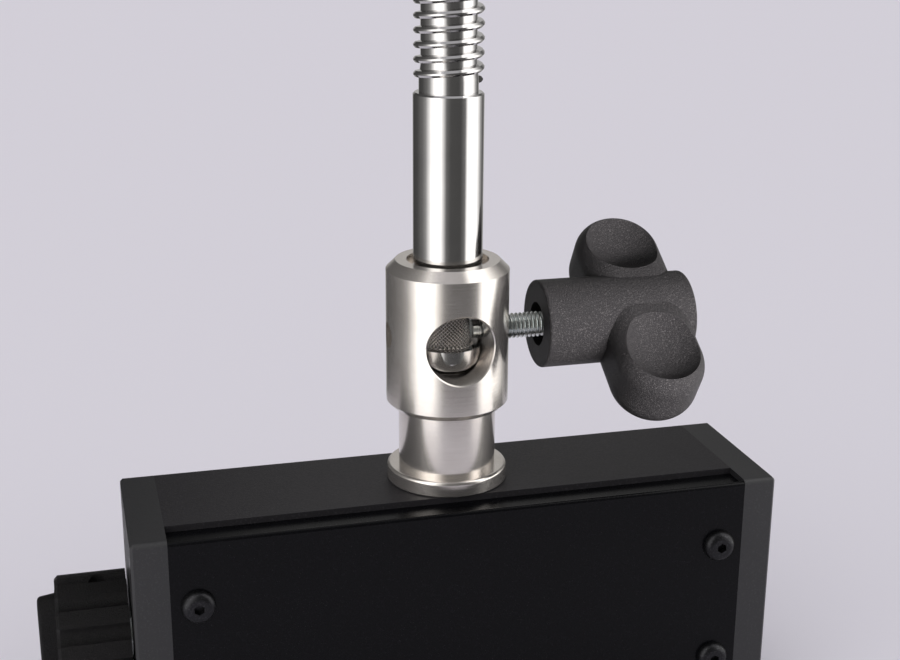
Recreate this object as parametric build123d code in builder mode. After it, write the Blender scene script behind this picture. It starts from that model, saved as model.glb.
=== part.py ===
from build123d import *
import os

# Screw column held in a steel socket on a switchable magnetic base block.
# Millimetres. The column stands on the Z axis, Z = 0 is the ground underside of the block,
# X runs along the block and the plain front face looks towards -Y.

# Block, outer sizes
block_length = 152.0
block_front = 21.5
block_rear = 17.35
block_height = 62.0
corner_radius = 1.2

# Block, covers and end caps
sheet = 1.5
lip_drop = 0.5
skirt_gap = 1.0
step_width = 6.8
rail_thickness = 3.0
rail_tuck = 3.0
cap_thickness = 8.0
cap_lift = 0.3

# Block, magnet and its tunnel
rotor_radius = 13.0
tunnel_gap = 0.2
rotor_height = 31.0
magnet_thickness = 12.0
disc_thickness = 5.0
end_float = 0.4
shaft_radius = 5.0
bush_wall = 2.0
stub_length = 5.5
seal_width = 1.9
strip_width = 12.0
bar_half_width = 8.0
bar_depth = 12.5

# Rotor stop: a pin in the left cap rides in a slot of the drive disc
switch_angle = 90.0
stop_pin_radius = 2.0
stop_pin_circle = 9.0
stop_pin_angle = 45.0
stop_pin_reach = 4.0
rotor_screw_circle = 9.5

# Switch knob
switch_radius = 15.0
switch_height = 16.0
switch_gap = 0.6
grip_count = 12
grip_radius = 2.2
pointer_width = 7.0
pointer_height = 4.0

# Foot
flange_radius = 14.2
flange_height = 3.8
flange_chamfer = 0.8
neck_radius = 11.4
neck_top = 18.5
spigot_height = 6.8
stud_radius = 5.0
stud_in_foot = 12.0
stud_in_bar = 11.0

# Socket
socket_radius = 14.3
socket_height = 35.0
socket_top_chamfer = 2.2
socket_low_chamfer = 1.4
mouth_radius = 9.5
mouth_depth = 3.0
window_radius = 8.0
window_height = 16.8
window_chamfer = 0.3

# Column
shank_radius = 8.0
column_fit = 0.1
seat_gap = 0.5
nose_radius = 4.6
band_top = 7.9
waist_radius = 5.2
waist_flare = 0.8
waist_length = 11.5
shank_top = 91.7
shoulder_chamfer = 0.4
groove_depth = 0.3
groove_width = 1.6
groove_rise = 0.3
relief_radius = 6.7
relief_height = 2.9
thread_major = 7.9
thread_minor = 6.3
thread_pitch = 3.175
thread_crest = 1.18
thread_flank = 14.5
thread_turns = 18
thread_runout = 2.0
thread_crest_round = 0.4

# Clamp screw and its wing knob
screw_height = 17.7
screw_radius = 3.0
screw_minor = 2.45
screw_pitch = 1.0
screw_crest = 0.13
screw_start = 8.4
screw_thread_end = 31.4
tap_fit = 0.05
tip_radius = 2.2
tip_length = 2.8
tip_stem_radius = 1.2
tip_stem_length = 3.0
waist_touch_gap = 0.3
hub_start = 21.9
hub_end = 58.5
hub_radius = 10.4
hub_edge = 0.6
hub_bore_radius = 5.2
hub_bore_depth = 9.0
wing_center = 46.6
wing_end_radius = 10.6
wing_reach = 27.8
wing_thickness = 19.0
wing_rounding = 6.5
wing_tilt = 58.0
dish_radius = 12.0
dish_depth = 5.5
hex_across = 10.0
hex_height = 4.0
hex_bottom = 47.5
cap_plug_radius = 6.5
cap_plug_height = 2.0

# Small fasteners
m3_radius = 1.5
m4_radius = 2.0
clear_hole = 0.25
seat_fit = 0.05
button_head_radius = 3.8
button_head_height = 2.2
flat_head_radius = 4.0
cheese_head_radius = 3.5
cheese_head_height = 4.0
hex_socket = 1.25
cover_screw_length = 9.0
cover_screw_inset = 6.0
cover_screw_low = 16.0
cover_screw_high = 46.0
cap_screw_length = 20.0
cap_screw_low = 8.0
cap_screw_high = 52.5
cap_screw_edge = 4.4
pole_screw_spread = 40.0
pole_screw_high = 52.2
pole_screw_low = 10.0
pole_screw_length = 12.0
disc_screw_length = 12.0
disc_screw_head = 2.8
grub_length = 6.0

# Places that follow from the sizes above
cover_span = block_length - 2 * cap_thickness
front_inner = -block_front + sheet
rear_inner = block_rear - sheet
rotor_y = (front_inner + rear_inner) / 2
step_edge = -block_front + sheet + step_width
tunnel_radius = rotor_radius + tunnel_gap
bar_bottom = block_height - sheet - bar_depth
rail_top = block_height - sheet
front_pole_top = rail_top - rail_thickness
cap_inner = cover_span / 2
disc_outer = cap_inner - end_float
core_half = disc_outer - disc_thickness
bush_radius = shaft_radius + bush_wall
bush_length = cap_thickness - seal_width
bore_radius = shank_radius + column_fit
seat_level = block_height + neck_top + spigot_height
column_bottom = seat_level + seat_gap
socket_bottom = block_height + neck_top
socket_top = socket_bottom + socket_height
window_level = socket_bottom + window_height
screw_level = socket_bottom + screw_height
waist_start = column_bottom + band_top - seat_gap
waist_end = waist_start + waist_length
groove_foot = socket_top + groove_rise - groove_width
thread_start = block_height + shank_top + relief_height
thread_length = thread_pitch * thread_turns
tip_face = waist_radius + waist_touch_gap
rotor_axis = (rotor_y, rotor_height)
stop_pin_offset = Vector(stop_pin_circle, 0).rotate(Axis.Z, stop_pin_angle)
stop_pin_spot = (rotor_y + stop_pin_offset.X, rotor_height + stop_pin_offset.Y)
cover_screw_x = cover_span / 2 - cover_screw_inset
cap_screw_front = front_inner + cap_screw_edge
cap_screw_rear = rear_inner - cap_screw_edge


def facing(x, y, z, direction):
    """A plane at a point whose normal is the direction that a fastener's head looks."""
    return Plane(origin=(x, y, z), z_dir=direction)


LEFT = (-1, 0, 0)
RIGHT = (1, 0, 0)
FRONT = (0, -1, 0)
REAR = (0, 1, 0)

front_cover_seats = [
    facing(x, -block_front, z, FRONT)
    for x in (-cover_screw_x, cover_screw_x)
    for z in (cover_screw_low, cover_screw_high)
]
rear_cover_seats = [
    facing(x, block_rear, z, REAR)
    for x in (-cover_screw_x, cover_screw_x)
    for z in (cover_screw_low, cover_screw_high)
]
cap_corners = [
    (y, z)
    for y in (cap_screw_front, cap_screw_rear)
    for z in (cap_screw_low, cap_screw_high)
]
left_cap_seats = [facing(-block_length / 2, y, z, LEFT) for y, z in cap_corners]
right_cap_seats = [facing(block_length / 2, y, z, RIGHT) for y, z in cap_corners]
front_pole_seats = [
    facing(x, front_inner, z, FRONT)
    for x in (-pole_screw_spread, pole_screw_spread)
    for z in (pole_screw_low, pole_screw_high)
]
rear_pole_seats = [
    facing(x, rear_inner, z, REAR)
    for x in (-pole_screw_spread, pole_screw_spread)
    for z in (pole_screw_low, pole_screw_high)
]
left_disc_seats = [
    facing(-disc_outer, rotor_y, rotor_height + side * rotor_screw_circle, LEFT)
    for side in (-1, 1)
]
right_disc_seats = [
    facing(disc_outer, rotor_y, rotor_height + side * rotor_screw_circle, RIGHT)
    for side in (-1, 1)
]
end_cap_seats = left_cap_seats + right_cap_seats
all_pole_seats = front_pole_seats + rear_pole_seats
all_disc_seats = left_disc_seats + right_disc_seats


def write(piece, name):
    """Label one finished piece and write it to its own file."""
    piece.part.label = name
    export_step(piece.part, f"parts/{name}.step")


os.makedirs("parts", exist_ok=True)

# Block -----------------------------------------------------------------------------

# Top cover: one folded sheet, top and rear wall, with a bend along the rear edge.
with BuildPart() as top_cover:
    with BuildSketch(Plane.YZ.offset(-cover_span / 2)):
        with Locations((step_edge, block_height)):
            Rectangle(block_rear - step_edge, sheet, align=(Align.MIN, Align.MAX))
        with Locations((block_rear, skirt_gap)):
            Rectangle(sheet, block_height - skirt_gap, align=(Align.MAX, Align.MIN))
    extrude(amount=cover_span)
    bend = top_cover.edges().filter_by(Axis.X).filter_by_position(
        Axis.Y, block_rear - 0.01, block_rear + 0.01
    ).sort_by(Axis.Z)[-1]
    fillet(bend, corner_radius)
    with Locations(facing(0, 0, block_height, (0, 0, 1))):
        Hole(stud_radius + clear_hole, sheet)
    with Locations(*rear_cover_seats):
        Hole(m4_radius + clear_hole, sheet)
write(top_cover, "top_cover")

# Front cover: a flat sheet whose top edge is rolled round and stands above the step.
with BuildPart() as front_cover:
    with BuildSketch(Plane.YZ.offset(-cover_span / 2)):
        with Locations((-block_front, skirt_gap)):
            Rectangle(sheet, block_height - lip_drop - skirt_gap, align=(Align.MIN, Align.MIN))
    extrude(amount=cover_span)
    lip = front_cover.edges().filter_by(Axis.X).group_by(Axis.Z)[-1]
    fillet(lip, sheet * 0.48)
    with Locations(*front_cover_seats):
        Hole(m4_radius + clear_hole, sheet)
write(front_cover, "front_cover")

# Step rail: a smooth strip that fills the step between the two covers.
with BuildPart() as step_rail:
    with BuildSketch(Plane.YZ.offset(-cover_span / 2)):
        with Locations((front_inner, rail_top)):
            Rectangle(step_width + rail_tuck, rail_thickness, align=(Align.MIN, Align.MAX))
    extrude(amount=cover_span)
write(step_rail, "step_rail")

# Mounting bar: a T section that keeps the poles apart at the top and takes the stud.
with BuildPart() as mounting_bar:
    with BuildSketch(Plane.YZ.offset(-cover_span / 2)):
        with Locations((0, block_height - sheet)):
            Rectangle(2 * bar_half_width, bar_depth, align=(Align.CENTER, Align.MAX))
        with Locations(rotor_axis):
            Rectangle(strip_width, bar_bottom - rotor_height, align=(Align.CENTER, Align.MIN))
        with Locations(rotor_axis):
            Circle(tunnel_radius, mode=Mode.SUBTRACT)
    extrude(amount=cover_span)
    with Locations(facing(0, 0, block_height - sheet, (0, 0, 1))):
        Hole(stud_radius + seat_fit, stud_in_bar)
    with Locations(*all_pole_seats[1::2]):
        Hole(m4_radius + seat_fit, cheese_head_height + pole_screw_length)
write(mounting_bar, "mounting_bar")

# Brass strip: the non-magnetic spacer between the two pole shoes at the underside.
with BuildPart() as brass_strip:
    with BuildSketch(Plane.YZ.offset(-cover_span / 2)):
        with Locations((rotor_y, 0)):
            Rectangle(strip_width, rotor_height, align=(Align.CENTER, Align.MIN))
        with Locations(rotor_axis):
            Circle(tunnel_radius, mode=Mode.SUBTRACT)
    extrude(amount=cover_span)
    with Locations(*all_pole_seats[0::2]):
        Hole(m4_radius + seat_fit, cheese_head_height + pole_screw_length)
write(brass_strip, "brass_strip")

# Pole shoes: soft iron on each side of the tunnel, ground flush with the strip below.
with BuildPart() as front_pole:
    with BuildSketch(Plane.YZ.offset(-cover_span / 2)):
        with Locations((front_inner, 0)):
            Rectangle(rotor_y - strip_width / 2 - front_inner, bar_bottom, align=(Align.MIN, Align.MIN))
        with Locations((front_inner, bar_bottom)):
            Rectangle(
                -bar_half_width - front_inner,
                front_pole_top - bar_bottom,
                align=(Align.MIN, Align.MIN),
            )
        with Locations(rotor_axis):
            Circle(tunnel_radius, mode=Mode.SUBTRACT)
    extrude(amount=cover_span)
    with Locations(*front_pole_seats):
        CounterBoreHole(
            m4_radius + clear_hole,
            cheese_head_radius + clear_hole,
            cheese_head_height,
            cheese_head_height + pole_screw_length,
        )
    with Locations(*front_cover_seats):
        Hole(m4_radius + seat_fit, sheet + cover_screw_length)
    with Locations(*end_cap_seats):
        Hole(m4_radius + seat_fit, cap_screw_length)
write(front_pole, "front_pole")

with BuildPart() as rear_pole:
    with BuildSketch(Plane.YZ.offset(-cover_span / 2)):
        with Locations((rear_inner, 0)):
            Rectangle(rear_inner - rotor_y - strip_width / 2, bar_bottom, align=(Align.MAX, Align.MIN))
        with Locations((rear_inner, bar_bottom)):
            Rectangle(rear_inner - bar_half_width, bar_depth, align=(Align.MAX, Align.MIN))
        with Locations(rotor_axis):
            Circle(tunnel_radius, mode=Mode.SUBTRACT)
    extrude(amount=cover_span)
    with Locations(*rear_pole_seats):
        CounterBoreHole(
            m4_radius + clear_hole,
            cheese_head_radius + clear_hole,
            cheese_head_height,
            cheese_head_height + pole_screw_length,
        )
    with Locations(*rear_cover_seats):
        Hole(m4_radius + seat_fit, sheet + cover_screw_length)
    with Locations(*end_cap_seats):
        Hole(m4_radius + seat_fit, cap_screw_length)
write(rear_pole, "rear_pole")


def cap_outline():
    """The rounded outline that both end caps share."""
    height = block_height - cap_lift
    with Locations(((block_rear - block_front) / 2, cap_lift + height / 2)):
        RectangleRounded(block_front + block_rear, height, corner_radius)


# End caps: the left one lets the shaft through, the right one closes it off.
with BuildPart() as left_end_cap:
    with BuildSketch(Plane.YZ.offset(-block_length / 2)):
        cap_outline()
    extrude(amount=cap_thickness)
    chamfer(left_end_cap.faces().sort_by(Axis.X)[0].edges(), corner_radius / 2)
    with Locations(*left_cap_seats):
        CounterSinkHole(m4_radius + clear_hole, flat_head_radius + clear_hole, cap_thickness, 90)
    with Locations(facing(-cap_inner, rotor_y, rotor_height, RIGHT)):
        Hole(bush_radius + seat_fit, cap_thickness)
    with Locations(facing(-cap_inner, *stop_pin_spot, RIGHT)):
        Hole(stop_pin_radius + seat_fit, stop_pin_reach)
write(left_end_cap, "left_end_cap")

with BuildPart() as right_end_cap:
    with BuildSketch(Plane.YZ.offset(cap_inner)):
        cap_outline()
    extrude(amount=cap_thickness)
    chamfer(right_end_cap.faces().sort_by(Axis.X)[-1].edges(), corner_radius / 2)
    with Locations(*right_cap_seats):
        CounterSinkHole(m4_radius + clear_hole, flat_head_radius + clear_hole, cap_thickness, 90)
    with Locations(facing(cap_inner, *rotor_axis, LEFT)):
        Hole(bush_radius + seat_fit, bush_length)
write(right_end_cap, "right_end_cap")

# Bushes: plain bronze sleeves pressed into the caps.
with BuildPart() as left_bush:
    with BuildSketch(Plane.YZ.offset(-cap_inner - bush_length)):
        with Locations(rotor_axis):
            Circle(bush_radius)
            Circle(shaft_radius + seat_fit, mode=Mode.SUBTRACT)
    extrude(amount=bush_length)
write(left_bush, "left_bush")

with BuildPart() as right_bush:
    with BuildSketch(Plane.YZ.offset(cap_inner)):
        with Locations(rotor_axis):
            Circle(bush_radius)
            Circle(shaft_radius + seat_fit, mode=Mode.SUBTRACT)
    extrude(amount=bush_length)
write(right_bush, "right_bush")

# Shaft seal: a rubber ring in the left cap, outside the bush.
with BuildPart() as shaft_seal:
    with Locations(Plane(origin=(-block_length / 2 + seal_width / 2, *rotor_axis), z_dir=RIGHT)):
        Torus(shaft_radius + bush_wall / 2, bush_wall / 2 - seat_fit)
write(shaft_seal, "shaft_seal")

# Stop pin: a dowel in the left cap's inner face.
with BuildPart() as stop_pin:
    with Locations(facing(-cap_inner, *stop_pin_spot, RIGHT)):
        Cylinder(stop_pin_radius, 2 * stop_pin_reach)
    chamfer(stop_pin.edges().group_by(Axis.X)[-1], stop_pin_radius / 5)
write(stop_pin, "stop_pin")

# Rotor ------------------------------------------------------------------------------

# The magnet is a slab between two soft iron segments, so the three make a cylinder.
with BuildPart() as rotor_magnet:
    with BuildSketch(Plane.YZ.offset(-core_half)):
        with Locations(rotor_axis):
            Circle(rotor_radius)
            Rectangle(2 * rotor_radius, magnet_thickness, mode=Mode.INTERSECT)
    extrude(amount=2 * core_half)
write(rotor_magnet, "rotor_magnet")


def rotor_segment(side):
    """One iron segment of the rotor: side is 1 for the upper and -1 for the lower."""
    with BuildPart() as segment:
        with BuildSketch(Plane.YZ.offset(-core_half)):
            with Locations(rotor_axis):
                Circle(rotor_radius)
            with Locations((rotor_y, rotor_height - side * (rotor_radius - magnet_thickness / 2))):
                Rectangle(2 * rotor_radius, 2 * rotor_radius, mode=Mode.SUBTRACT)
        extrude(amount=2 * core_half)
        with Locations(*all_disc_seats):
            Hole(m3_radius + seat_fit, disc_screw_length + disc_thickness)
    return segment


upper_rotor_segment = rotor_segment(1)
write(upper_rotor_segment, "upper_rotor_segment")

lower_rotor_segment = rotor_segment(-1)
write(lower_rotor_segment, "lower_rotor_segment")

# Drive disc: closes the left end of the rotor, carries the shaft and the stop slot.
shaft_length = cap_thickness + end_float + switch_gap + switch_height * 0.75
stop_path = CenterArc(rotor_axis, stop_pin_circle, stop_pin_angle - switch_angle, switch_angle)
with BuildPart() as drive_disc:
    with BuildSketch(Plane.YZ.offset(-disc_outer)):
        with Locations(rotor_axis):
            Circle(rotor_radius)
    extrude(amount=disc_thickness)
    with BuildSketch(Plane.YZ.offset(-disc_outer)):
        with Locations(rotor_axis):
            Circle(shaft_radius)
    extrude(amount=-shaft_length)
    with BuildSketch(Plane.YZ.offset(-disc_outer)):
        SlotArc(stop_path, 2 * (stop_pin_radius + tunnel_gap))
    extrude(amount=disc_thickness, both=True, mode=Mode.SUBTRACT)
    with Locations(*left_disc_seats):
        CounterSinkHole(m3_radius + clear_hole, disc_screw_head + clear_hole, disc_thickness, 90)
    chamfer(drive_disc.edges().group_by(Axis.X)[0], shaft_radius / 10)
write(drive_disc, "drive_disc")

# Tail disc: closes the right end and runs in the blind bush.
with BuildPart() as tail_disc:
    with BuildSketch(Plane.YZ.offset(core_half)):
        with Locations(rotor_axis):
            Circle(rotor_radius)
    extrude(amount=disc_thickness)
    with BuildSketch(Plane.YZ.offset(disc_outer)):
        with Locations(rotor_axis):
            Circle(shaft_radius)
    extrude(amount=stub_length)
    with Locations(*right_disc_seats):
        CounterSinkHole(m3_radius + clear_hole, disc_screw_head + clear_hole, disc_thickness, 90)
    chamfer(tail_disc.edges().group_by(Axis.X)[-1], shaft_radius / 10)
write(tail_disc, "tail_disc")

# Switch knob: a ribbed disc with a raised pointer, on the shaft outside the left cap.
switch_face = -block_length / 2 - switch_gap
with BuildPart() as switch_knob:
    with BuildSketch(Plane.YZ.offset(switch_face)):
        with Locations(rotor_axis):
            Circle(switch_radius)
            with PolarLocations(switch_radius + grip_radius * 0.45, grip_count):
                Circle(grip_radius, mode=Mode.SUBTRACT)
    extrude(amount=-switch_height)
    chamfer(switch_knob.edges().group_by(Axis.X)[0], switch_radius / 20)
    with BuildSketch(Plane.YZ.offset(switch_face - switch_height)):
        with Locations(rotor_axis):
            SlotOverall(2 * switch_radius * 0.8, pointer_width, rotation=90)
    extrude(amount=-pointer_height, taper=8)
    fillet(switch_knob.edges().group_by(Axis.X)[0], pointer_width / 7)
    with Locations(facing(switch_face, *rotor_axis, RIGHT)):
        Hole(shaft_radius + seat_fit, switch_height * 0.75 + seat_fit)
    grub_x = switch_face - switch_height * 0.4
    with Locations(facing(grub_x, rotor_y, rotor_height + switch_radius, (0, 0, 1))):
        Hole(m4_radius + seat_fit, switch_radius - shaft_radius)
write(switch_knob, "switch_knob")

with BuildPart() as switch_grub_screw:
    with Locations(
        facing(grub_x, rotor_y, rotor_height + shaft_radius + seat_fit, (0, 0, 1))
    ):
        Cylinder(m4_radius, grub_length, align=(Align.CENTER, Align.CENTER, Align.MIN))
    with BuildSketch(switch_grub_screw.faces().sort_by(Axis.Z)[-1]):
        RegularPolygon(hex_socket, 6)
    extrude(amount=-grub_length / 3, mode=Mode.SUBTRACT)
write(switch_grub_screw, "switch_grub_screw")

# Small fasteners --------------------------------------------------------------------


def flat_head_screws(seats, radius, head_radius, length):
    """Countersunk socket screws, heads flush with their seats."""
    with BuildPart() as screws:
        with Locations(*seats):
            Cylinder(radius, length, align=(Align.CENTER, Align.CENTER, Align.MAX))
            Cone(
                radius,
                head_radius,
                head_radius - radius,
                align=(Align.CENTER, Align.CENTER, Align.MAX),
            )
        with BuildSketch(*seats):
            RegularPolygon(radius * 0.62, 6)
        extrude(amount=-(head_radius - radius), mode=Mode.SUBTRACT)
    return screws


def button_head_screws(seats, length):
    """Round-headed socket screws, heads standing on their seats."""
    with BuildPart() as screws:
        with Locations(*seats):
            Cylinder(m4_radius, sheet + length, align=(Align.CENTER, Align.CENTER, Align.MAX))
        with Locations(*seats):
            Cylinder(button_head_radius, button_head_height, align=(Align.CENTER, Align.CENTER, Align.MIN))
        crowns = screws.edges().filter_by(GeomType.CIRCLE).filter_by(
            lambda edge: edge.radius > m4_radius + seat_fit
        ).group_by(Axis.Y)
        outer = crowns[0] if seats[0].z_dir.Y < 0 else crowns[-1]
        fillet(outer, button_head_height * 0.8)
        with BuildSketch(*[seat.offset(button_head_height) for seat in seats]):
            RegularPolygon(hex_socket, 6)
        extrude(amount=-button_head_height * 0.7, mode=Mode.SUBTRACT)
    return screws


front_cover_screws = button_head_screws(front_cover_seats, cover_screw_length - seat_fit)
write(front_cover_screws, "front_cover_screws")

rear_cover_screws = button_head_screws(rear_cover_seats, cover_screw_length - seat_fit)
write(rear_cover_screws, "rear_cover_screws")

end_cap_screws = flat_head_screws(
    end_cap_seats, m4_radius, flat_head_radius, cap_screw_length - seat_fit
)
write(end_cap_screws, "end_cap_screws")

rotor_screws = flat_head_screws(all_disc_seats, m3_radius, disc_screw_head, disc_screw_length)
write(rotor_screws, "rotor_screws")

# Pole screws: sunk socket screws that draw both poles against the bar and the strip.
with BuildPart() as pole_screws:
    with Locations(*[seat.offset(-cheese_head_height) for seat in all_pole_seats]):
        Cylinder(cheese_head_radius, cheese_head_height, align=(Align.CENTER, Align.CENTER, Align.MIN))
        Cylinder(m4_radius, pole_screw_length - seat_fit, align=(Align.CENTER, Align.CENTER, Align.MAX))
    with BuildSketch(*all_pole_seats):
        RegularPolygon(hex_socket, 6)
    extrude(amount=-cheese_head_height / 2, mode=Mode.SUBTRACT)
write(pole_screws, "pole_screws")

# Base stud: joins the foot to the mounting bar.
with BuildPart() as base_stud:
    with BuildSketch(Plane.XY.offset(block_height - sheet - stud_in_bar + seat_fit)):
        Circle(stud_radius)
    extrude(amount=stud_in_bar + sheet + stud_in_foot - 2 * seat_fit)
    chamfer(base_stud.edges().filter_by(GeomType.CIRCLE), stud_radius / 8)
write(base_stud, "base_stud")

# Foot and socket --------------------------------------------------------------------

# Foot: a turned flange and neck, with a spigot that enters the socket.
with BuildPart() as flanged_foot:
    with BuildSketch(Plane.XZ):
        with Locations((0, block_height)):
            Rectangle(flange_radius, flange_height, align=(Align.MIN, Align.MIN))
            Rectangle(neck_radius, neck_top, align=(Align.MIN, Align.MIN))
            Rectangle(bore_radius - seat_fit, neck_top + spigot_height, align=(Align.MIN, Align.MIN))
    revolve(axis=Axis.Z)
    rims = flanged_foot.edges().filter_by(GeomType.CIRCLE)
    chamfer(rims.filter_by_position(Axis.Z, seat_level - 0.01, seat_level + 0.01), flange_chamfer)
    flange_rims = rims.filter_by(lambda edge: abs(edge.radius - flange_radius) < 0.01).sort_by(Axis.Z)
    fillet(flange_rims[-1], flange_chamfer)
    chamfer(flange_rims[0], flange_chamfer / 3)
    with Locations(facing(0, 0, block_height, (0, 0, -1))):
        Hole(stud_radius + seat_fit, stud_in_foot)
write(flanged_foot, "flanged_foot")

# Socket: a turned sleeve with a window drilled right through and a tapped cross hole.
with BuildPart() as socket_collar:
    with BuildSketch(Plane.XY.offset(socket_bottom)):
        Circle(socket_radius)
    extrude(amount=socket_height)
    chamfer(socket_collar.faces().sort_by(Axis.Z)[-1].edges(), socket_top_chamfer)
    chamfer(socket_collar.faces().sort_by(Axis.Z)[0].edges(), socket_low_chamfer)
    with Locations(facing(0, 0, socket_top, (0, 0, 1))):
        CounterBoreHole(bore_radius, mouth_radius, mouth_depth, socket_height)
    with Locations(facing(0, -socket_radius, window_level, FRONT)):
        Hole(window_radius, 2 * socket_radius)
    window_edges = socket_collar.edges().filter_by(
        lambda edge: abs(edge.center().Y) > socket_radius * 0.72
        and abs(edge.center(CenterOf.BOUNDING_BOX).Z - window_level) < 0.01
    )
    chamfer(window_edges, window_chamfer)
    with Locations(facing(socket_radius, 0, screw_level, RIGHT)):
        Hole(screw_radius + tap_fit, 2 * socket_radius)
write(socket_collar, "socket_collar")

# Column -----------------------------------------------------------------------------

# A steel pin with a rounded nose, a knurled waist for the clamp screw, a plain shank
# and a coarse screw thread above a turned relief.
with BuildPart() as threaded_column:
    with BuildSketch(Plane.XZ):
        with BuildLine():
            Polyline(
                (0, column_bottom),
                (shank_radius, column_bottom),
                (shank_radius, waist_start),
                (waist_radius, waist_start),
                (waist_radius, waist_end),
                (shank_radius, waist_end + shank_radius - waist_radius),
                (shank_radius, groove_foot),
                (shank_radius - groove_depth, groove_foot),
                (shank_radius - groove_depth, groove_foot + groove_width),
                (shank_radius, groove_foot + groove_width),
                (shank_radius, block_height + shank_top - shoulder_chamfer),
                (shank_radius - shoulder_chamfer, block_height + shank_top),
                (relief_radius, block_height + shank_top),
                (relief_radius, thread_start),
                (thread_minor, thread_start + thread_pitch),
                (thread_minor, thread_start + thread_length),
                (0, thread_start + thread_length),
                close=True,
            )
        make_face()
    revolve(axis=Axis.Z)
    nose = threaded_column.edges().filter_by(GeomType.CIRCLE).sort_by(Axis.Z)[0]
    fillet(nose, nose_radius)
    inner_corner = threaded_column.edges().filter_by(GeomType.CIRCLE).filter_by(
        lambda edge: abs(edge.radius - waist_radius) < 0.01
    ).sort_by(Axis.Z)[0]
    fillet(inner_corner, waist_flare)
    crest = thread_crest / 2
    flank = Vector(thread_major - thread_minor, 0).rotate(Axis.Z, thread_flank).Y
    root_sink = 0.2
    thread_foot = (0, 0, thread_start + thread_pitch / 2 - thread_runout)
    thread_path = Helix(thread_pitch, thread_length - thread_pitch, thread_minor, thread_foot)
    with BuildSketch(Plane(thread_path @ 0, z_dir=thread_path % 0, x_dir=(1, 0, 0))) as thread_profile:
        Polygon(
            (-root_sink, crest + flank),
            (thread_major - thread_minor - thread_crest_round, crest + flank / 4),
            (thread_major - thread_minor, crest - thread_crest_round),
            (thread_major - thread_minor, thread_crest_round - crest),
            (thread_major - thread_minor - thread_crest_round, -crest - flank / 4),
            (-root_sink, -crest - flank),
            align=None,
        )
    sweep(thread_profile.sketch, path=thread_path, is_frenet=True)
write(threaded_column, "threaded_column")

# Clamp ------------------------------------------------------------------------------

# Clamp screw: a fine rolled thread with a hexagon head that sits in the knob.
with BuildPart() as clamp_screw:
    ridge_count = round((screw_thread_end - screw_start) / screw_pitch)
    outline = [(screw_start, screw_level)]
    for ridge in range(ridge_count):
        foot_x = screw_start + ridge * screw_pitch
        outline.append((foot_x, screw_level + screw_minor))
        outline.append((foot_x + (screw_pitch - screw_crest) / 2, screw_level + screw_radius))
        outline.append((foot_x + (screw_pitch + screw_crest) / 2, screw_level + screw_radius))
    outline.append((screw_start + ridge_count * screw_pitch, screw_level + screw_minor))
    outline.append((screw_start + ridge_count * screw_pitch, screw_level))
    with BuildSketch(Plane.XZ):
        with BuildLine():
            Polyline(*outline, close=True)
        make_face()
    revolve(axis=Axis((0, 0, screw_level), RIGHT))
    with BuildSketch(Plane(origin=(screw_thread_end, 0, screw_level), x_dir=(0, 0, 1), z_dir=RIGHT)):
        Circle(screw_radius)
    extrude(amount=hex_bottom - screw_thread_end)
    with BuildSketch(Plane(origin=(hex_bottom, 0, screw_level), x_dir=(0, 0, 1), z_dir=RIGHT)):
        RegularPolygon(hex_across / 2, 6, major_radius=False)
    extrude(amount=hex_height)
    with Locations(facing(screw_start, 0, screw_level, LEFT)):
        Hole(tip_stem_radius + seat_fit, tip_stem_length + seat_fit)
write(clamp_screw, "clamp_screw")

# Thrust tip: a plain button that presses on the waist and doesn't turn with the screw.
with BuildPart() as thrust_tip:
    with BuildSketch(Plane(origin=(tip_face, 0, screw_level), z_dir=RIGHT)):
        Circle(tip_radius)
    extrude(amount=tip_length)
    chamfer(thrust_tip.edges().group_by(Axis.X)[0], tip_radius / 8)
    with BuildSketch(Plane(origin=(tip_face + tip_length, 0, screw_level), z_dir=RIGHT)):
        Circle(tip_stem_radius)
    extrude(amount=tip_stem_length)
write(thrust_tip, "thrust_tip")

# Wing knob: a moulded hub with two dished wings, open at the end over the screw.
upright_plane = Plane(origin=(wing_center, 0, screw_level), x_dir=RIGHT, z_dir=(0, -1, 0))
wing_plane = upright_plane.rotated((-wing_tilt, 0, 0))
dish_center = wing_thickness / 2 - dish_depth + dish_radius
with BuildPart() as wing_knob:
    with BuildSketch(wing_plane):
        SlotOverall(2 * wing_reach, 2 * wing_end_radius, rotation=90)
    extrude(amount=wing_thickness / 2, both=True)
    fillet(wing_knob.edges(), wing_rounding)
    with Locations(wing_plane):
        with Locations(
            (0, wing_reach - wing_end_radius, dish_center),
            (0, wing_end_radius - wing_reach, dish_center),
            (0, wing_reach - wing_end_radius, -dish_center),
            (0, wing_end_radius - wing_reach, -dish_center),
        ):
            Sphere(dish_radius, mode=Mode.SUBTRACT)
    with BuildSketch(Plane(origin=(hub_start, 0, screw_level), x_dir=(0, 0, 1), z_dir=RIGHT)):
        Circle(hub_radius)
    extrude(amount=hub_end - hub_start)
    with Locations(facing(hub_start, 0, screw_level, LEFT)):
        CounterBoreHole(screw_radius + seat_fit, hub_bore_radius, hub_bore_depth, hub_end - hub_start)
    with BuildSketch(Plane(origin=(hub_end, 0, screw_level), x_dir=(0, 0, 1), z_dir=RIGHT)):
        RegularPolygon(hex_across / 2 + seat_fit, 6, major_radius=False)
    extrude(amount=hex_bottom - hub_end, mode=Mode.SUBTRACT)
    with Locations(facing(hub_end, 0, screw_level, RIGHT)):
        Hole(cap_plug_radius + seat_fit, cap_plug_height)
    rim_edges = wing_knob.edges().filter_by(GeomType.CIRCLE).filter_by(
        lambda edge: abs(edge.radius - hub_radius) < 0.01 and edge.is_closed
    )
    fillet(rim_edges, hub_edge)
write(wing_knob, "wing_knob")

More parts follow.
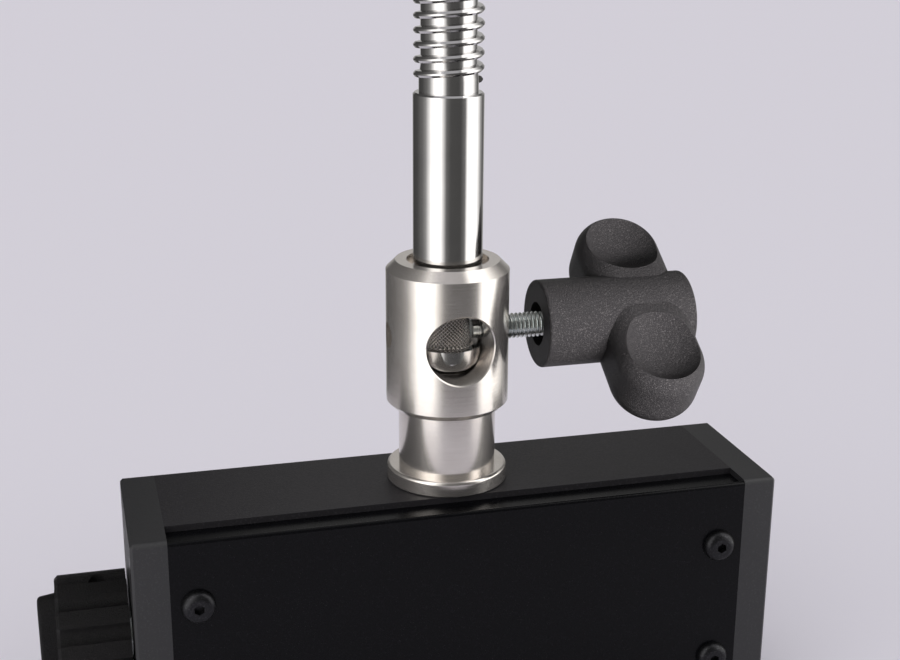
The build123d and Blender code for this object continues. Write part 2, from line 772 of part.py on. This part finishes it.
# Knob cap: a plug that covers the screw's head.
with BuildPart() as knob_cap:
    with BuildSketch(Plane(origin=(hub_end - cap_plug_height + seat_fit, 0, screw_level), z_dir=RIGHT)):
        Circle(cap_plug_radius)
    extrude(amount=cap_plug_height)
    chamfer(knob_cap.edges().group_by(Axis.X)[-1], hub_edge)
write(knob_cap, "knob_cap")
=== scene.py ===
import math
import bmesh
import bpy
from mathutils import Matrix, Vector


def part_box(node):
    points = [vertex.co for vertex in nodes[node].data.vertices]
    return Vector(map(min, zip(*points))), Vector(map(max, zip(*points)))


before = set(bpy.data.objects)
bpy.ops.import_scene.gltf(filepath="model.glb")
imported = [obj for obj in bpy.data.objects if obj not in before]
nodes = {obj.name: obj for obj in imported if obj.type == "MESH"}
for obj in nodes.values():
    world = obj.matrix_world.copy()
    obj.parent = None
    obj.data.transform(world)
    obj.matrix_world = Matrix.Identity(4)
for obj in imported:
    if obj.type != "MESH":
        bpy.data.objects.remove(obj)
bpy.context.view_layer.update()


def new_material(name, metallic, roughness):
    """A fresh material and its main shader, with constant values set on the shader itself."""
    material = bpy.data.materials.new(name)
    material.use_nodes = True
    shader = material.node_tree.nodes["Principled BSDF"]
    shader.inputs["Metallic"].default_value = metallic
    shader.inputs["Roughness"].default_value = roughness
    return material, shader


def dress(material, *names):
    """Give these CAD nodes one material on every slot."""
    for name in names:
        piece = nodes[name]
        if not piece.material_slots:
            piece.data.materials.append(material)
        for slot in piece.material_slots:
            slot.material = material


def add(tree, kind, **values):
    """A node with its properties and unlinked inputs set by name."""
    node = tree.nodes.new(kind)
    for key, value in values.items():
        if key.startswith("in_"):
            node.inputs[key[3:].replace("_", " ")].default_value = value
        else:
            setattr(node, key, value)
    return node


def object_coordinates(tree):
    """The piece's own coordinates, so that a pattern stays with the piece."""
    return add(tree, "ShaderNodeTexCoord").outputs["Object"]


def blend(tree, dark, light, mask, shader):
    """Colour the shader between two colours by a mask that changes over the surface."""
    tint = add(tree, "ShaderNodeMix", data_type="RGBA")
    tint.inputs["A"].default_value = (*dark, 1)
    tint.inputs["B"].default_value = (*light, 1)
    tree.links.new(mask, tint.inputs["Factor"])
    tree.links.new(tint.outputs["Result"], shader.inputs["Base Color"])
    return tint.outputs["Result"]


def vary_polish(tree, smooth, rough, mask, shader):
    """Take the shader's roughness from smooth to rough by a mask."""
    polish = add(tree, "ShaderNodeMapRange", in_To_Min=smooth, in_To_Max=rough)
    tree.links.new(mask, polish.inputs["Value"])
    tree.links.new(polish.outputs["Result"], shader.inputs["Roughness"])


def group_with(name, inputs, outputs):
    """An empty node group with float inputs, or a vector input where the value is None."""
    group = bpy.data.node_groups.new(name, "ShaderNodeTree")
    for title, value in inputs.items():
        kind = "NodeSocketVector" if value is None else "NodeSocketFloat"
        socket = group.interface.new_socket(name=title, in_out="INPUT", socket_type=kind)
        if value is not None:
            socket.default_value = value
    for title, kind in outputs.items():
        group.interface.new_socket(name=title, in_out="OUTPUT", socket_type=kind)
    entry = group.nodes.new("NodeGroupInput")
    leave = group.nodes.new("NodeGroupOutput")
    return group, entry, leave


turning, turning_in, turning_out = group_with(
    "turning_lines",
    {"Vector": None, "Fineness": 2600.0, "Blotch": 120.0, "Depth": 0.1},
    {"Lines": "NodeSocketFloat", "Blotches": "NodeSocketFloat", "Normal": "NodeSocketVector"},
)
ring_noise = add(
    turning, "ShaderNodeTexNoise", noise_dimensions="1D", in_Detail=3.0, in_Roughness=0.65
)
blotch_noise = add(turning, "ShaderNodeTexNoise", in_Detail=4.0, in_Roughness=0.6)
ring_axis = add(turning, "ShaderNodeSeparateXYZ")
ring_bump = add(turning, "ShaderNodeBump", in_Distance=0.00004)
turning.links.new(turning_in.outputs["Vector"], ring_axis.inputs["Vector"])
turning.links.new(ring_axis.outputs["Z"], ring_noise.inputs["W"])
turning.links.new(turning_in.outputs["Fineness"], ring_noise.inputs["Scale"])
turning.links.new(turning_in.outputs["Vector"], blotch_noise.inputs["Vector"])
turning.links.new(turning_in.outputs["Blotch"], blotch_noise.inputs["Scale"])
turning.links.new(turning_in.outputs["Depth"], ring_bump.inputs["Strength"])
turning.links.new(ring_noise.outputs["Fac"], ring_bump.inputs["Height"])
turning.links.new(ring_noise.outputs["Fac"], turning_out.inputs["Lines"])
turning.links.new(blotch_noise.outputs["Fac"], turning_out.inputs["Blotches"])
turning.links.new(ring_bump.outputs["Normal"], turning_out.inputs["Normal"])


def turned_metal(
    name, dark, light, smooth, rough, depth, fineness=2600.0, lies_along_x=False, metallic=1.0
):
    """Bare turned metal: rings round its axis, blotched colour and uneven polish."""
    material, shader = new_material(name, metallic, smooth)
    tree = material.node_tree
    place = object_coordinates(tree)
    if lies_along_x:
        turn = add(tree, "ShaderNodeMapping", in_Rotation=(0, math.radians(90), 0))
        tree.links.new(place, turn.inputs["Vector"])
        place = turn.outputs["Vector"]
    lines = add(
        tree, "ShaderNodeGroup", node_tree=turning, in_Depth=depth, in_Fineness=fineness
    )
    tree.links.new(place, lines.inputs["Vector"])
    colour = blend(tree, dark, light, lines.outputs["Blotches"], shader)
    vary_polish(tree, smooth, rough, lines.outputs["Lines"], shader)
    tree.links.new(lines.outputs["Normal"], shader.inputs["Normal"])
    return material, shader, colour, lines.outputs["Normal"]


socket_steel, *_ = turned_metal(
    "socket_steel",
    dark=(0.62, 0.575, 0.53),
    light=(0.82, 0.785, 0.745),
    smooth=0.14,
    rough=0.26,
    depth=0.10,
    metallic=0.88,
)
dress(socket_steel, "socket_collar", "flanged_foot")


# ---- Column ------------------------------------------------------------------------
# A hard chromed steel pin: the shank is polished almost to a mirror, the thread above it
# is rolled and buffed, and the waist that the clamp screw bites is knurled crosswise.
column_low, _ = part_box("threaded_column")
knurl_rise = 0.0074
knurl_length = 0.0146
knurl_start = column_low[2] + knurl_rise
knurl_end = knurl_start + knurl_length
knurl_pitch = 0.0009
waist_radius = 0.0052
knurl_count = round(2 * math.pi * waist_radius / knurl_pitch)
knurl_depth = 0.00030
# Painted shade: the dark colour mixed into the knurl's valleys.
knurl_valley_painted_shade = (0.30, 0.275, 0.25, 1)

column_steel, column_shader, column_colour, column_rings = turned_metal(
    "column_steel",
    dark=(0.54, 0.53, 0.53),
    light=(0.70, 0.69, 0.68),
    smooth=0.07,
    rough=0.15,
    depth=0.08,
)
column_tree = column_steel.node_tree


def maths(tree, operation, *values):
    """The output of a Math node whose inputs are sockets or plain numbers."""
    node = add(tree, "ShaderNodeMath", operation=operation)
    for slot, value in zip(node.inputs, values):
        if isinstance(value, bpy.types.NodeSocket):
            tree.links.new(value, slot)
        else:
            slot.default_value = value
    return node.outputs[0]


knurl_place = add(column_tree, "ShaderNodeSeparateXYZ")
column_tree.links.new(object_coordinates(column_tree), knurl_place.inputs["Vector"])
knurl_level = knurl_place.outputs["Z"]
knurl_angle = maths(
    column_tree, "ARCTAN2", knurl_place.outputs["Y"], knurl_place.outputs["X"]
)


def knurl_ridges(slant):
    """One family of slanting ridges: slant is 1 or -1 for its hand."""
    around = maths(column_tree, "MULTIPLY", knurl_angle, slant * knurl_count)
    along = maths(column_tree, "MULTIPLY", knurl_level, 2 * math.pi / knurl_pitch)
    return maths(column_tree, "SINE", maths(column_tree, "ADD", around, along))


knurl_height = maths(column_tree, "MAXIMUM", knurl_ridges(1), knurl_ridges(-1))
knurl_zone = maths(
    column_tree,
    "MULTIPLY",
    maths(column_tree, "GREATER_THAN", knurl_level, knurl_start),
    maths(column_tree, "LESS_THAN", knurl_level, knurl_end),
)
# Painted shade in the knurl: the deeper a point lies between the ridges, the more the steel is
# mixed toward the dark valley colour.
knurl_valley = add(
    column_tree, "ShaderNodeMapRange", in_From_Min=-0.7, in_To_Min=0.9, in_To_Max=0.0
)
column_tree.links.new(knurl_height, knurl_valley.inputs["Value"])
knurl_shade = maths(column_tree, "MULTIPLY", knurl_valley.outputs["Result"], knurl_zone)
knurl_painted_shade_tint = add(column_tree, "ShaderNodeMix", data_type="RGBA")
knurl_painted_shade_tint.inputs["B"].default_value = knurl_valley_painted_shade
column_tree.links.new(knurl_shade, knurl_painted_shade_tint.inputs["Factor"])
column_tree.links.new(column_colour, knurl_painted_shade_tint.inputs["A"])
column_tree.links.new(knurl_painted_shade_tint.outputs["Result"], column_shader.inputs["Base Color"])
knurl_bump = add(column_tree, "ShaderNodeBump", in_Strength=1.0, in_Distance=knurl_depth)
column_tree.links.new(
    maths(column_tree, "MULTIPLY", knurl_height, knurl_zone), knurl_bump.inputs["Height"]
)
column_tree.links.new(column_rings, knurl_bump.inputs["Normal"])
column_tree.links.new(knurl_bump.outputs["Normal"], column_shader.inputs["Normal"])
dress(column_steel, "threaded_column")


# ---- Clamp screw -------------------------------------------------------------------
# The clamp screw and its thrust tip are zinc plated steel, bright and slightly blue.
# The foot's stud, the rotor's two discs and its stop pin have the same finish.
zinc_steel, *_ = turned_metal(
    "zinc_steel",
    dark=(0.50, 0.53, 0.52),
    light=(0.80, 0.83, 0.82),
    smooth=0.16,
    rough=0.34,
    depth=0.3,
    fineness=5000.0,
    lies_along_x=True,
)
dress(zinc_steel, "clamp_screw", "thrust_tip", "base_stud", "drive_disc", "tail_disc", "stop_pin")


# ---- Knobs -------------------------------------------------------------------------
# The wing knob and the switch knob are moulded in black glass filled nylon. The fibres
# leave a dull, grainy skin with pale specks where they lie near the surface.
grain, grain_in, grain_out = group_with(
    "skin_grain",
    {"Vector": None, "Fineness": 1500.0, "Speck": 4200.0, "Depth": 0.3, "Size": 0.0001},
    {"Grain": "NodeSocketFloat", "Specks": "NodeSocketFloat", "Normal": "NodeSocketVector"},
)
grain_noise = add(grain, "ShaderNodeTexNoise", in_Detail=5.0, in_Roughness=0.7)
speck_noise = add(grain, "ShaderNodeTexNoise", in_Detail=2.0, in_Roughness=0.5)
speck_range = add(grain, "ShaderNodeMapRange", in_From_Min=0.56, in_From_Max=0.72)
grain_bump = add(grain, "ShaderNodeBump")
for noise, fineness in ((grain_noise, "Fineness"), (speck_noise, "Speck")):
    grain.links.new(grain_in.outputs["Vector"], noise.inputs["Vector"])
    grain.links.new(grain_in.outputs[fineness], noise.inputs["Scale"])
grain.links.new(speck_noise.outputs["Fac"], speck_range.inputs["Value"])
grain.links.new(grain_noise.outputs["Fac"], grain_bump.inputs["Height"])
grain.links.new(grain_in.outputs["Depth"], grain_bump.inputs["Strength"])
grain.links.new(grain_in.outputs["Size"], grain_bump.inputs["Distance"])
grain.links.new(grain_noise.outputs["Fac"], grain_out.inputs["Grain"])
grain.links.new(speck_range.outputs["Result"], grain_out.inputs["Specks"])
grain.links.new(grain_bump.outputs["Normal"], grain_out.inputs["Normal"])


def grained(
    name, dark, light, smooth, rough, depth, fineness, speck, size, metallic=0.0, specular=0.5,
    coat=0.0,
):
    """A dull grained surface, such as moulded plastic, powder coat or cast iron."""
    material, shader = new_material(name, metallic, rough)
    shader.inputs["Specular IOR Level"].default_value = specular
    shader.inputs["Coat Weight"].default_value = coat
    shader.inputs["Coat Roughness"].default_value = 0.12
    tree = material.node_tree
    skin = add(
        tree,
        "ShaderNodeGroup",
        node_tree=grain,
        in_Depth=depth,
        in_Fineness=fineness,
        in_Speck=speck,
        in_Size=size,
    )
    tree.links.new(object_coordinates(tree), skin.inputs["Vector"])
    blend(tree, dark, light, skin.outputs["Specks"], shader)
    vary_polish(tree, smooth, rough, skin.outputs["Grain"], shader)
    tree.links.new(skin.outputs["Normal"], shader.inputs["Normal"])
    return material


nylon = grained(
    "glass_filled_nylon",
    dark=(0.0065, 0.0060, 0.0063),
    light=(0.026, 0.024, 0.024),
    smooth=0.34,
    rough=0.52,
    depth=1.0,
    fineness=2600.0,
    speck=4200.0,
    size=0.0004,
    specular=0.16,
)
dress(nylon, "wing_knob", "knob_cap", "switch_knob")


# ---- Block covers ------------------------------------------------------------------
# The folded top and rear cover has a textured black powder coat. The front sheet and
# the step rail are painted smooth, so they look blacker and mirror the foot above them.
powder = grained(
    "textured_powder_coat",
    dark=(0.020, 0.0185, 0.021),
    light=(0.040, 0.038, 0.041),
    smooth=0.40,
    rough=0.60,
    depth=0.6,
    fineness=1700.0,
    speck=2400.0,
    size=0.00012,
    specular=0.22,
)
dress(powder, "top_cover")

smooth_paint = grained(
    "smooth_black_paint",
    dark=(0.0028, 0.0028, 0.0036),
    light=(0.005, 0.005, 0.0065),
    smooth=0.20,
    rough=0.32,
    depth=0.12,
    fineness=700.0,
    speck=1500.0,
    size=0.00005,
    specular=0.12,
    coat=0.03,
)
dress(smooth_paint, "front_cover", "step_rail")


# ---- End caps and screws -----------------------------------------------------------
# The milled end caps close the block and have a finer black powder coat than the cover.
# The button, countersunk and cheese head screws are steel, dipped in black oxide.
cap_coat = grained(
    "fine_powder_coat",
    dark=(0.017, 0.017, 0.019),
    light=(0.030, 0.030, 0.032),
    smooth=0.42,
    rough=0.60,
    depth=0.5,
    fineness=2300.0,
    speck=3000.0,
    size=0.00008,
)
dress(cap_coat, "left_end_cap", "right_end_cap")

black_oxide = grained(
    "black_oxide",
    dark=(0.020, 0.020, 0.022),
    light=(0.050, 0.050, 0.054),
    smooth=0.25,
    rough=0.45,
    depth=0.3,
    fineness=1900.0,
    speck=2500.0,
    size=0.00004,
    metallic=0.8,
)
dress(black_oxide, "front_cover_screws", "rear_cover_screws", "end_cap_screws")
dress(black_oxide, "pole_screws", "rotor_screws", "switch_grub_screw")


# ---- Poles, bar and strip ----------------------------------------------------------
# The poles and the rotor's segments are soft iron, milled and then ground. A sawn
# aluminium bar holds the poles together at the top and a brass strip parts them below.
pole_iron = grained(
    "ground_iron",
    dark=(0.23, 0.22, 0.215),
    light=(0.36, 0.35, 0.34),
    smooth=0.28,
    rough=0.45,
    depth=0.25,
    fineness=900.0,
    speck=700.0,
    size=0.00004,
    metallic=1.0,
)
dress(pole_iron, "front_pole", "rear_pole", "upper_rotor_segment", "lower_rotor_segment")

aluminium = grained(
    "milled_aluminium",
    dark=(0.56, 0.56, 0.57),
    light=(0.70, 0.70, 0.71),
    smooth=0.28,
    rough=0.42,
    depth=0.2,
    fineness=1200.0,
    speck=500.0,
    size=0.00004,
    metallic=1.0,
)
dress(aluminium, "mounting_bar")

brass = grained(
    "ground_brass",
    dark=(0.62, 0.44, 0.19),
    light=(0.78, 0.60, 0.30),
    smooth=0.24,
    rough=0.40,
    depth=0.2,
    fineness=1100.0,
    speck=600.0,
    size=0.00004,
    metallic=1.0,
)
dress(brass, "brass_strip")


# ---- Magnet, bushes and seal -------------------------------------------------------
# The rotor's magnet is a pressed and sintered slab, dark and slightly shiny. The rotor
# turns in plain bushes of sintered bronze, and a moulded rubber ring seals the left one.
bronze = grained(
    "sintered_bronze",
    dark=(0.38, 0.24, 0.12),
    light=(0.56, 0.38, 0.20),
    smooth=0.35,
    rough=0.55,
    depth=0.5,
    fineness=1500.0,
    speck=1800.0,
    size=0.00008,
    metallic=1.0,
)
dress(bronze, "left_bush", "right_bush")

ferrite = grained(
    "sintered_magnet",
    dark=(0.06, 0.06, 0.065),
    light=(0.11, 0.11, 0.115),
    smooth=0.45,
    rough=0.65,
    depth=0.5,
    fineness=1000.0,
    speck=1400.0,
    size=0.00008,
    metallic=0.3,
)
dress(ferrite, "rotor_magnet")

rubber = grained(
    "seal_rubber",
    dark=(0.012, 0.012, 0.012),
    light=(0.022, 0.022, 0.022),
    smooth=0.5,
    rough=0.7,
    depth=0.4,
    fineness=2000.0,
    speck=2500.0,
    size=0.00005,
)
dress(rubber, "shaft_seal")


# ---- Studio floor ------------------------------------------------------------------
# A wide sheet of matt pale paper, slightly lilac, under the block and far past it.
# It has no gloss of its own, so it shows only soft shadows.
floor_size = 20.0
floor_mesh = bpy.data.meshes.new("studio_floor")
floor_form = bmesh.new()
bmesh.ops.create_grid(floor_form, x_segments=1, y_segments=1, size=floor_size)
floor_form.to_mesh(floor_mesh)
floor_form.free()
floor = bpy.data.objects.new("studio_floor", floor_mesh)
bpy.context.scene.collection.objects.link(floor)
floor_paper, floor_shader = new_material("studio_floor", metallic=0.0, roughness=0.9)
floor_shader.inputs["Base Color"].default_value = (0.84, 0.815, 0.87, 1)
floor_shader.inputs["Specular IOR Level"].default_value = 0.0
floor.data.materials.append(floor_paper)


# ---- Card tent ---------------------------------------------------------------------
# A round tent of white and dark cards stands close about the block. Only reflections
# see it, so it gives the polished steel its bright and dark bands.
tent_radius = 0.23
tent_low = 0.001
tent_high = 0.62
tent_sides = 96
tent_mesh = bpy.data.meshes.new("card_tent")
tent_form = bmesh.new()
bmesh.ops.create_cone(
    tent_form,
    cap_ends=False,
    segments=tent_sides,
    radius1=tent_radius,
    radius2=tent_radius,
    depth=tent_high - tent_low,
    matrix=Matrix.Translation((0, 0, (tent_low + tent_high) / 2)),
)
bmesh.ops.reverse_faces(tent_form, faces=tent_form.faces)
tent_form.to_mesh(tent_mesh)
tent_form.free()
tent = bpy.data.objects.new("card_tent", tent_mesh)
bpy.context.scene.collection.objects.link(tent)
tent.visible_camera = False
tent.visible_diffuse = False
tent.visible_shadow = False
tent.visible_transmission = False

tent_cards = bpy.data.materials.new("card_tent")
tent_cards.use_nodes = True
tent_tree = tent_cards.node_tree
tent_tree.nodes.clear()
tent_place = object_coordinates(tent_tree)
view_heading = math.radians(15.15)
tent_front = Vector((-math.sin(view_heading), -math.cos(view_heading)))
tent_right = Vector((math.cos(view_heading), -math.sin(view_heading)))


def tent_reach(side):
    """How far a point of the tent lies along a level direction."""
    across = add(tent_tree, "ShaderNodeVectorMath", operation="DOT_PRODUCT")
    across.inputs[1].default_value = (side.x, side.y, 0)
    tent_tree.links.new(tent_place, across.inputs[0])
    return across.outputs["Value"]


tent_angle = maths(tent_tree, "ARCTAN2", tent_reach(tent_right), tent_reach(tent_front))
tent_turn = add(tent_tree, "ShaderNodeMapRange", in_From_Min=-math.pi, in_From_Max=math.pi)
tent_tree.links.new(tent_angle, tent_turn.inputs["Value"])

# Each card is an angle from the tent's front in degrees, to the right, and a brightness.
card_levels = [
    (-180, 0.50), (-165, 0.45), (-150, 0.06), (-116, 0.09), (-90, 0.20), (-76, 0.40),
    (-62, 1.30), (-50, 2.30), (-28, 2.40), (-15, 1.00), (-6, 0.20), (8, 0.10),
    (40, 0.09), (56, 0.25), (62, 1.50), (70, 2.30), (98, 2.20), (112, 1.30),
    (124, 0.50), (142, 0.10), (165, 0.45), (180, 0.50),
]
card_green = 0.985
card_blue = 0.97
tent_ramp = add(tent_tree, "ShaderNodeValToRGB")
cards = tent_ramp.color_ramp.elements
cards.remove(cards[1])
for index, (degrees, level) in enumerate(card_levels):
    position = (degrees + 180) / 360
    card = cards[0] if index == 0 else cards.new(position)
    card.position = position
    card.color = (level, level * card_green, level * card_blue, 1)
tent_tree.links.new(tent_turn.outputs["Result"], tent_ramp.inputs["Fac"])
tent_glow = add(tent_tree, "ShaderNodeEmission", in_Strength=1.0)
tent_tree.links.new(tent_ramp.outputs["Color"], tent_glow.inputs["Color"])
tent_output = add(tent_tree, "ShaderNodeOutputMaterial")
tent_tree.links.new(tent_glow.outputs["Emission"], tent_output.inputs["Surface"])
tent.data.materials.append(tent_cards)


# ---- Lights ------------------------------------------------------------------------
# Three broad, far lights, a key from the left, a fill from the right and one from
# behind, stand in a pale surround. A small softbox shines on the wing knob alone.
def far_light(name, place, spread, strength):
    """A soft light so far off that it falls evenly on the whole floor."""
    lamp = bpy.data.lights.new(name, "SUN")
    lamp.angle = math.radians(spread)
    lamp.energy = strength
    light = bpy.data.objects.new(name, lamp)
    light.location = place
    light.rotation_euler = Vector(place).to_track_quat("Z", "Y").to_euler()
    bpy.context.scene.collection.objects.link(light)


far_light("key_light", place=(-0.9, -0.7, 0.8), spread=60.0, strength=0.60)
far_light("fill_light", place=(0.9, -0.4, 0.6), spread=60.0, strength=0.40)
far_light("back_light", place=(0.3, 1.0, 0.9), spread=80.0, strength=0.35)

socket_low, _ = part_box("socket_collar")
screw_rise = 0.0177
knob_center = Vector((0.045, 0, socket_low[2] + screw_rise))
softbox_place = Vector((0.112, -0.25, 0.122))
softbox_lamp = bpy.data.lights.new("knob_softbox", "AREA")
softbox_lamp.shape = "RECTANGLE"
softbox_lamp.size = 0.20
softbox_lamp.size_y = 0.05
softbox_lamp.energy = 9.0
softbox = bpy.data.objects.new("knob_softbox", softbox_lamp)
softbox.location = softbox_place
softbox.rotation_euler = (knob_center - softbox_place).to_track_quat("-Z", "Y").to_euler()
softbox.visible_camera = False
softbox.visible_glossy = False
bpy.context.scene.collection.objects.link(softbox)
knob_set = bpy.data.collections.new("knob_set")
knob_set.objects.link(nodes["wing_knob"])
knob_set.objects.link(nodes["knob_cap"])
softbox.light_linking.receiver_collection = knob_set

world = bpy.data.worlds.new("pale_studio")
world.use_nodes = True
surround = world.node_tree.nodes["Background"]
surround.inputs["Color"].default_value = (0.93, 0.92, 0.96, 1)
surround.inputs["Strength"].default_value = 0.56
bpy.context.scene.world = world


# ---- Camera ------------------------------------------------------------------------
# The camera stands in front of the block and a little to the left, above its top, and
# looks down at the socket. The plain view transform keeps the greys as they are lit.
_, cover_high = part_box("top_cover")
camera_rise = 0.1388
camera_place = Vector((-0.0851, -0.3167, cover_high[2] + camera_rise))
camera_pitch = math.radians(17.36)
camera_roll = math.radians(0.35)
camera_lens = bpy.data.cameras.new("camera")
camera_lens.lens = 59.0
camera_lens.sensor_width = 36.0
camera_lens.clip_start = 0.01
camera = bpy.data.objects.new("camera", camera_lens)
camera.matrix_world = (
    Matrix.Translation(camera_place)
    @ Matrix.Rotation(-view_heading, 4, "Z")
    @ Matrix.Rotation(math.radians(90) - camera_pitch, 4, "X")
    @ Matrix.Rotation(camera_roll, 4, "Z")
)
bpy.context.scene.collection.objects.link(camera)
bpy.context.scene.camera = camera
bpy.context.scene.view_settings.view_transform = "Standard"
